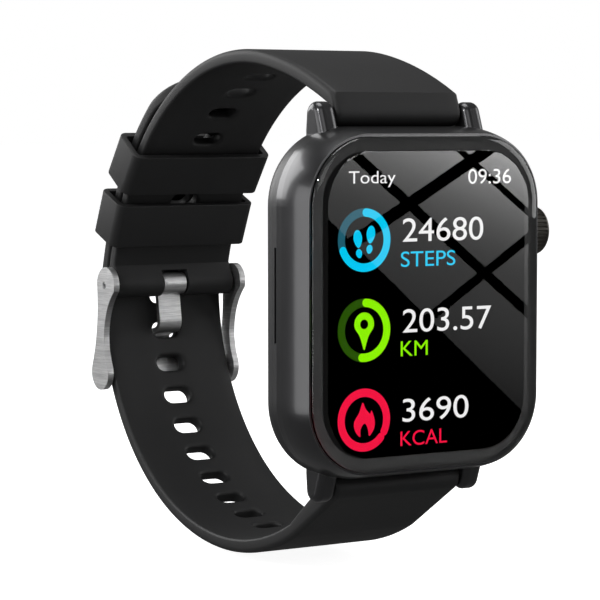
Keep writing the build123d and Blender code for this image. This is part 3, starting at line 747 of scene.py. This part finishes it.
def place_mesh(obj, across_dir, up_dir, out_dir, origin):
    """Turns a mesh drawn about its own X, Y and Z on to three directions at a point, in place."""
    for vert in obj.data.vertices:
        co = vert.co.copy()
        vert.co = origin + across_dir * co.x + up_dir * co.y + out_dir * co.z
    obj.data.update()


# ================================================================ keepers
def keeper_tree(tree, entry):
    """A rounded rectangular path with a rounded rectangular section swept round it."""
    def rounded(width, height, corner, count):
        """A rectangle curve with its corners rounded by so many points."""
        shape = node(tree, "GeometryNodeCurvePrimitiveQuadrilateral")
        tree.links.new(width, shape.inputs["Width"])
        tree.links.new(height, shape.inputs["Height"])
        fillet = node(tree, "GeometryNodeFilletCurve", mode="POLY")
        fillet.inputs["Count"].default_value = count
        tree.links.new(corner, fillet.inputs["Radius"])
        tree.links.new(shape.outputs[0], fillet.inputs["Curve"])
        return fillet.outputs[0]

    path = rounded(entry.outputs["Width"], entry.outputs["Thickness"], entry.outputs["Corner"], 8)
    section = rounded(entry.outputs["Wall"], entry.outputs["Height"], entry.outputs["Edge"], 4)
    sweep = node(tree, "GeometryNodeCurveToMesh")
    tree.links.new(path, sweep.inputs["Curve"])
    tree.links.new(section, sweep.inputs["Profile Curve"])
    smooth = node(tree, "GeometryNodeSetShadeSmooth")
    tree.links.new(sweep.outputs[0], smooth.inputs[0])
    return smooth.outputs[0]


for keeper_name, lift in KEEPER_LIFT.items():
    keeper = node_modifier(keeper_name + "_silicone", "black_silicone", {
        "Width": (KEEPER_W - KEEPER_WALL) * MM, "Thickness": (KEEPER_T - KEEPER_WALL) * MM,
        "Corner": KEEPER_CORNER * MM, "Wall": KEEPER_WALL * MM, "Height": KEEPER_H * MM,
        "Edge": KEEPER_EDGE * MM}, keeper_tree)
    point, outward = loop_point(lift)
    along = Vector((1, 0, 0)).cross(outward)
    place_mesh(keeper, Vector((1, 0, 0)), outward, along, point * MM)
    bm = bmesh.new()
    bm.from_mesh(keeper.data)
    bmesh.ops.remove_doubles(bm, verts=bm.verts, dist=1e-7)
    bmesh.ops.recalc_face_normals(bm, faces=bm.faces)
    bm.to_mesh(keeper.data)
    bm.free()
    keeper.data.set_sharp_from_angle(angle=KEEPER_SHARP)
    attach(keeper, "loop_upper" if keeper_name == "keeper_upper" else "loop_lower")
    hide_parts(keeper_name)


# ================================================================ the lit picture under the glass
PICTURE_Y = -10.42
PANEL_W, PANEL_H = 32.4, 39.6
INK_INSET, INK_OVERLAP, INK_CORNER = 0.03, 1.0, 6.6
ARC_LIFT, TEXT_LIFT = 0.004, 0.005              # keep the layers from sharing a plane
RING_X, RING_OUT, RING_IN = -9.6, 3.98, 2.92
ROWS_Z = (8.2, -3.1, -14.4)


def flat_mesh(name, outlines, finish_name, lift=0.0):
    """Flat shapes facing the front of the watch; each outline is a list of (x, z)."""
    bm = bmesh.new()
    for outline in outlines:
        verts = [bm.verts.new((x, PICTURE_Y - lift, z)) for x, z in outline]
        bm.faces.new(verts)
    bmesh.ops.triangulate(bm, faces=bm.faces)
    for face in bm.faces:
        if face.normal.y > 0:
            face.normal_flip()
    made = to_object(bm, name, finish_name, smooth=False)
    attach(made, "watch")


def rounded_outline(width, height, corner, per_corner=14):
    """Points round a rounded rectangle as (x, z), anticlockwise seen from the front."""
    made = []
    for quarter, (sx, sz) in enumerate(((1, 1), (-1, 1), (-1, -1), (1, -1))):
        for k in range(per_corner + 1):
            a = radians(90 * (quarter + k / per_corner))
            made.append((sx * (width / 2 - corner) + corner * cos(a),
                         sz * (height / 2 - corner) + corner * sin(a)))
    return made


def make_border_ink():
    """The black print on the underside and edge of the glass, framing the picture."""
    rim = rounded_outline(GLASS_W - 2 * INK_INSET, GLASS_H - 2 * INK_INSET, GLASS_R - INK_INSET)
    window = rounded_outline(PANEL_W - INK_OVERLAP, PANEL_H - INK_OVERLAP, INK_CORNER)
    back = GLASS_BACK - INK_INSET
    levels = [(rim, GLASS_FRONT + GLASS_DROP + 0.05), (rim, back), (window, back)]
    bm = bmesh.new()
    rings = [[bm.verts.new((x, y, z)) for x, z in outline] for outline, y in levels]
    count = len(rim)
    for outer, inner in zip(rings, rings[1:]):
        for k in range(count):
            m = (k + 1) % count
            bm.faces.new((outer[k], inner[k], inner[m], outer[m]))
    ink = to_object(bm, "glass_border_ink", "black_ink")
    ink.data.set_sharp_from_angle(angle=INK_SHARP)
    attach(ink, "watch")


make_border_ink()


def ring_part(name, z, start, end, finish_name, lift=0.0, round_ends=True):
    """Part of a progress ring, clockwise from start to end in degrees from 12 o'clock."""
    steps = max(8, int((end - start) / 4))
    middle, half = (RING_OUT + RING_IN) / 2, (RING_OUT - RING_IN) / 2

    def at(radius, angle):
        """A point on the ring's face, the angle clockwise from 12 o'clock."""
        return RING_X + radius * sin(radians(angle)), z + radius * cos(radians(angle))

    quads = []
    for k in range(steps):
        a = start + (end - start) * k / steps
        b = start + (end - start) * (k + 1) / steps
        quads.append([at(RING_IN, a), at(RING_OUT, a), at(RING_OUT, b), at(RING_IN, b)])
    if round_ends:
        for angle in (start, end):
            cx, cz = at(middle, angle)
            quads.append([(cx + half * cos(radians(t)), cz + half * sin(radians(t)))
                          for t in range(0, 360, 20)])
    flat_mesh(name, quads, finish_name, lift)


def text_mesh(name, words, x, z, height, width, finish_name):
    """A line of figures, fitted to a height and width in millimetres."""
    curve = bpy.data.curves.new(name, "FONT")
    curve.body = words
    made = bpy.data.objects.new(name, curve)
    scene.collection.objects.link(made)
    bpy.context.view_layer.update()
    graph = bpy.context.evaluated_depsgraph_get()
    mesh = bpy.data.meshes.new_from_object(made.evaluated_get(graph))
    bpy.data.objects.remove(made)
    xs = [v.co.x for v in mesh.vertices]
    ys = [v.co.y for v in mesh.vertices]
    scale_x = width / (max(xs) - min(xs))
    scale_z = height / (max(ys) - min(ys))
    low_x, low_y = min(xs), min(ys)
    for v in mesh.vertices:
        v.co = Vector((x + (v.co.x - low_x) * scale_x, PICTURE_Y - TEXT_LIFT,
                       z + (v.co.y - low_y) * scale_z)) * MM
    mesh.materials.clear()
    mesh.materials.append(FINISH[finish_name])
    shown = bpy.data.objects.new(name, mesh)
    scene.collection.objects.link(shown)
    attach(shown, "watch")


def blob(cx, cz, rx, rz, tilt=0.0, squeeze=0.0, steps=28):
    """An egg shaped outline; squeeze narrows its lower half."""
    made = []
    for k in range(steps):
        a = 2 * pi * k / steps
        x, z = rx * cos(a), rz * sin(a)
        x *= 1 - squeeze * max(0.0, -sin(a))
        made.append((cx + x * cos(tilt) - z * sin(tilt), cz + x * sin(tilt) + z * cos(tilt)))
    return made


def footprints(cx, cz):
    """Two shoe soles, each a sole and a heel, one a little ahead of the other."""
    shapes = []
    for side, rise in ((-1, -0.25), (1, 0.25)):
        shapes.append(blob(cx + side * 0.98, cz + 0.42 + rise, 0.66, 1.12, side * -0.12, 0.25))
        shapes.append(blob(cx + side * 0.78, cz - 1.42 + rise, 0.46, 0.58, side * -0.25, 0.15))
    return shapes


def map_pin(cx, cz):
    """A drop shape with a round eye, as a fan of quads."""
    outer, inner = [], []
    steps = 48
    for k in range(steps):
        a = 2 * pi * k / steps
        down = max(0.0, -sin(a))
        reach = 1.5 + 1.75 * down ** 7
        outer.append((cx + 1.5 * cos(a) * (1 - 0.45 * down ** 3), cz + 0.75 + reach * sin(a)))
        inner.append((cx + 0.6 * cos(a), cz + 0.75 + 0.6 * sin(a)))
    return [[outer[k], outer[(k + 1) % steps], inner[(k + 1) % steps], inner[k]]
            for k in range(steps)]


def smooth_loop(points, steps=5):
    """A closed smooth outline through a few points."""
    made = []
    count = len(points)
    for k in range(count):
        p0, p1, p2, p3 = (Vector(points[(k + j) % count]) for j in (-1, 0, 1, 2))
        for step in range(steps):
            t = step / steps
            at = 0.5 * (2 * p1 + (p2 - p0) * t + (2 * p0 - 5 * p1 + 4 * p2 - p3) * t ** 2
                        + (3 * p1 - 3 * p2 + p3 - p0) * t ** 3)
            made.append((at.x, at.y))
    return made


def flame(cx, cz):
    """A flame with a notch of dark at its foot."""
    points = [(-0.2, 2.2), (0.25, 1.4), (0.95, 0.75), (1.15, 1.15), (1.6, 0.0), (1.55, -1.1),
              (0.8, -2.05), (0.62, -1.2), (0.1, -0.45), (-0.5, -1.1), (-0.6, -2.1),
              (-1.35, -1.3), (-1.5, -0.2), (-0.75, 0.95)]
    return [[(cx + x, cz + z) for x, z in smooth_loop(points)]]


def make_picture():
    """Three progress rings with their symbols, figures and units."""
    top, middle, bottom = ROWS_Z
    ring_part("ring_blue_faint", top, 0, 360, "blue_faint", 0.0, False)
    ring_part("ring_blue", top, 4, 248, "blue_light", ARC_LIFT)
    ring_part("ring_green_faint", middle, 0, 360, "green_faint", 0.0, False)
    ring_part("ring_green", middle, 4, 186, "green_light", ARC_LIFT)
    ring_part("ring_red", bottom, 132, 478, "red_light", ARC_LIFT)
    flat_mesh("symbol_soles", footprints(RING_X, top), "blue_light")
    flat_mesh("symbol_pin", map_pin(RING_X, middle), "green_light")
    flat_mesh("symbol_flame", flame(RING_X, bottom), "red_light")
    # name, words, left edge, foot, height, width, finish
    rows = [
        ("heading", "Today", -11.95, 14.75, 2.05, 7.1, "white_light"),
        ("clock_time", "09:36", 6.5, 15.0, 1.9, 6.9, "white_light"),
        ("steps_figure", "24680", -3.75, 7.8, 3.0, 12.7, "white_light"),
        ("steps_unit", "STEPS", -4.0, 4.65, 1.95, 8.5, "blue_light"),
        ("distance_figure", "203.57", -3.7, -3.7, 3.0, 14.0, "white_light"),
        ("distance_unit", "KM", -4.0, -6.65, 1.9, 4.2, "green_light"),
        ("energy_figure", "3690", -3.7, -15.05, 2.95, 10.4, "white_light"),
        ("energy_unit", "KCAL", -4.0, -18.1, 1.9, 7.3, "red_light"),
    ]
    for name, words, x, z, height, width, finish_name in rows:
        text_mesh(name, words, x, z, height, width, finish_name)


make_picture()


# ================================================================ camera, lights and floor
TARGET = Vector((-19.16, -11.0, 1.065)) * MM
CAM_AZ, CAM_EL, CAM_FAR = radians(-33.0), radians(3.966), 312.4 * MM
back_dir = Vector((sin(CAM_AZ) * cos(CAM_EL), -cos(CAM_AZ) * cos(CAM_EL), sin(CAM_EL)))
camera_data = bpy.data.cameras.new("camera")
camera_data.lens, camera_data.sensor_width = 152.4, 36.0
camera_data.clip_start, camera_data.clip_end = 0.01, 20.0
camera = bpy.data.objects.new("camera", camera_data)
scene.collection.objects.link(camera)
camera.location = TARGET + back_dir * CAM_FAR
camera.rotation_euler = (-back_dir).to_track_quat("-Z", "Y").to_euler()
scene.camera = camera
scene.view_settings.view_transform = "Standard"


def area_light(name, place, size_x, size_y, power):
    """A soft rectangular lamp at a place, aimed at the middle of the watch; sizes in metres."""
    data = bpy.data.lights.new(name, "AREA")
    data.shape, data.size, data.size_y, data.energy = "RECTANGLE", size_x, size_y, power
    lamp = bpy.data.objects.new(name, data)
    scene.collection.objects.link(lamp)
    lamp.location = place
    away = (cad_low + cad_high) / 2 - Vector(place)
    lamp.rotation_euler = away.to_track_quat("-Z", "Y").to_euler()


# name, place, width, height, watts
LAMPS = [
    ("key_left", (-0.42, -0.16, 0.30), 0.06, 0.07, 1.1),
    ("left_panel", (-0.70, 0.20, 0.05), 0.5, 0.5, 2.0),
    ("front_soft", (-0.25, -0.75, 0.45), 0.5, 0.5, 1.1),
    ("right_soft", (0.55, -0.20, 0.20), 0.35, 0.45, 1.4),
    ("top", (0.0, 0.05, 0.60), 0.4, 0.4, 2.2),
    ("back", (-0.25, 0.55, 0.25), 0.4, 0.4, 2.5),
]
for lamp_row in LAMPS:
    area_light(*lamp_row)

FLOOR_HALF, FLOOR_DROP = 6000.0, 1.0
FLOOR_GLOW, ROOM_GLOW = 0.93, 0.14              # the floor's glow lights nothing else
floor_mesh = bmesh.new()
bmesh.ops.create_grid(floor_mesh, x_segments=2, y_segments=2, size=FLOOR_HALF)
bmesh.ops.translate(floor_mesh, vec=(0, 0, cad_low.z / MM - FLOOR_DROP), verts=floor_mesh.verts)
floor = to_object(floor_mesh, "floor", "soft_seal")
floor_mat, floor_tree, floor_bsdf = shader("pale_floor")
floor_grain = use(floor_tree, "grain", Grain_scale=400.0, Patch_scale=3.0)
floor_tree.links.new(mix_colour(floor_tree, floor_grain["Patches"], (0.60, 0.60, 0.60),
                                (0.64, 0.64, 0.64)), floor_bsdf.inputs["Base Color"])
floor_bsdf.inputs["Roughness"].default_value = 0.7
floor_bsdf.inputs["Emission Color"].default_value = (1, 1, 1, 1)
seen = node(floor_tree, "ShaderNodeLightPath").outputs["Is Camera Ray"]
floor_tree.links.new(math_node(floor_tree, "MULTIPLY", seen, FLOOR_GLOW),
                     floor_bsdf.inputs["Emission Strength"])
floor.visible_glossy = False
floor.data.materials[0] = floor_mat

world = bpy.data.worlds.new("studio")
scene.world = world
world.use_nodes = True
sky = world.node_tree
background = next(n for n in sky.nodes if n.type == "BACKGROUND")
path = node(sky, "ShaderNodeLightPath")
to_camera = math_node(sky, "MULTIPLY", path.outputs["Is Camera Ray"], 1 - ROOM_GLOW)
brightness = math_node(sky, "ADD", to_camera, ROOM_GLOW)
sky.links.new(brightness, background.inputs["Strength"])
background.inputs["Color"].default_value = (1, 1, 1, 1)


# ---- the studio window: a lit card with crossed bars, seen only as a reflection in the glass
WINDOW_Y = -400.0
WINDOW_FADE = (-14.0, 12.0, 0.07, 1.15)         # climb from, to, strength from, to
WINDOW_CORNER = (6.0, 24.0, 0.0, 1.0)
CORNER_POWER, CORNER_GAIN = 2.6, 8.0
glass_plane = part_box("front_glass")[0].y / MM
mirror_eye = camera.location / MM
mirror_eye.y = 2 * glass_plane - mirror_eye.y


def on_window(x, z):
    """Where the reflection of a point on the glass lands on the window card."""
    spot = Vector((x, glass_plane, z))
    reach = (WINDOW_Y - mirror_eye.y) / (glass_plane - mirror_eye.y)
    return mirror_eye + (spot - mirror_eye) * reach


def make_window():
    """The card carries glass millimetres as its UV, so the bars are set out on the glass."""
    left, right, half_h = -0.75 * GLASS_W, 0.56 * GLASS_W, 0.8 * GLASS_H
    corners = [(left, -half_h), (right, -half_h), (right, half_h), (left, half_h)]
    bm = bmesh.new()
    uv = bm.loops.layers.uv.new("glass")
    face = bm.faces.new([bm.verts.new(on_window(x, z)) for x, z in corners])
    for loop, (x, z) in zip(face.loops, corners):
        loop[uv].uv = (x, z)
    card = to_object(bm, "studio_window", "soft_seal", smooth=False)
    mat = bpy.data.materials.new("studio_window")
    mat.use_nodes = True
    tree = mat.node_tree
    tree.nodes.clear()
    out = node(tree, "ShaderNodeOutputMaterial")
    glow = node(tree, "ShaderNodeEmission")
    tree.links.new(glow.outputs[0], out.inputs["Surface"])
    split = node(tree, "ShaderNodeSeparateXYZ")
    tree.links.new(node(tree, "ShaderNodeUVMap", uv_map="glass").outputs[0], split.inputs[0])
    u, v = split.outputs["X"], split.outputs["Y"]

    def height_over(x, z, slope):
        """How far a place lies above a slanted line through (x, z)."""
        rise = math_node(tree, "MULTIPLY", math_node(tree, "SUBTRACT", u, x), slope)
        return math_node(tree, "SUBTRACT", math_node(tree, "SUBTRACT", v, z), rise)

    light = math_node(tree, "GREATER_THAN", height_over(-3.0, 0.35, -0.845), 0.0)
    # a point on each dark bar, its slope and its half height
    bars = [(-3.59, 12.77, -0.76, 0.85), (5.73, 18.43, -0.735, 0.55),
            (6.26, 17.89, 0.545, 0.95), (9.0, 3.81, 0.62, 0.75)]
    for x, z, slope, half in bars:
        away = math_node(tree, "ABSOLUTE", height_over(x, z, slope))
        light = math_node(tree, "MULTIPLY", light, math_node(tree, "GREATER_THAN", away, half))
    climb = math_node(tree, "ADD", math_node(tree, "MULTIPLY", u, 0.35), v)

    def between(low, high, result_low, result_high):
        """Rises from one strength to another as the climb goes from low to high."""
        fade = node(tree, "ShaderNodeMapRange")
        for label, value in (("From Min", low), ("From Max", high),
                             ("To Min", result_low), ("To Max", result_high)):
            fade.inputs[label].default_value = value
        tree.links.new(climb, fade.inputs["Value"])
        return fade.outputs["Result"]

    corner = math_node(tree, "POWER", between(*WINDOW_CORNER), CORNER_POWER)
    glow_level = math_node(tree, "ADD", between(*WINDOW_FADE),
                           math_node(tree, "MULTIPLY", corner, CORNER_GAIN))
    strength = math_node(tree, "MULTIPLY", light, glow_level)
    tree.links.new(strength, glow.inputs["Strength"])
    card.data.materials[0] = mat
    card.visible_camera = card.visible_diffuse = card.visible_shadow = False


make_window()
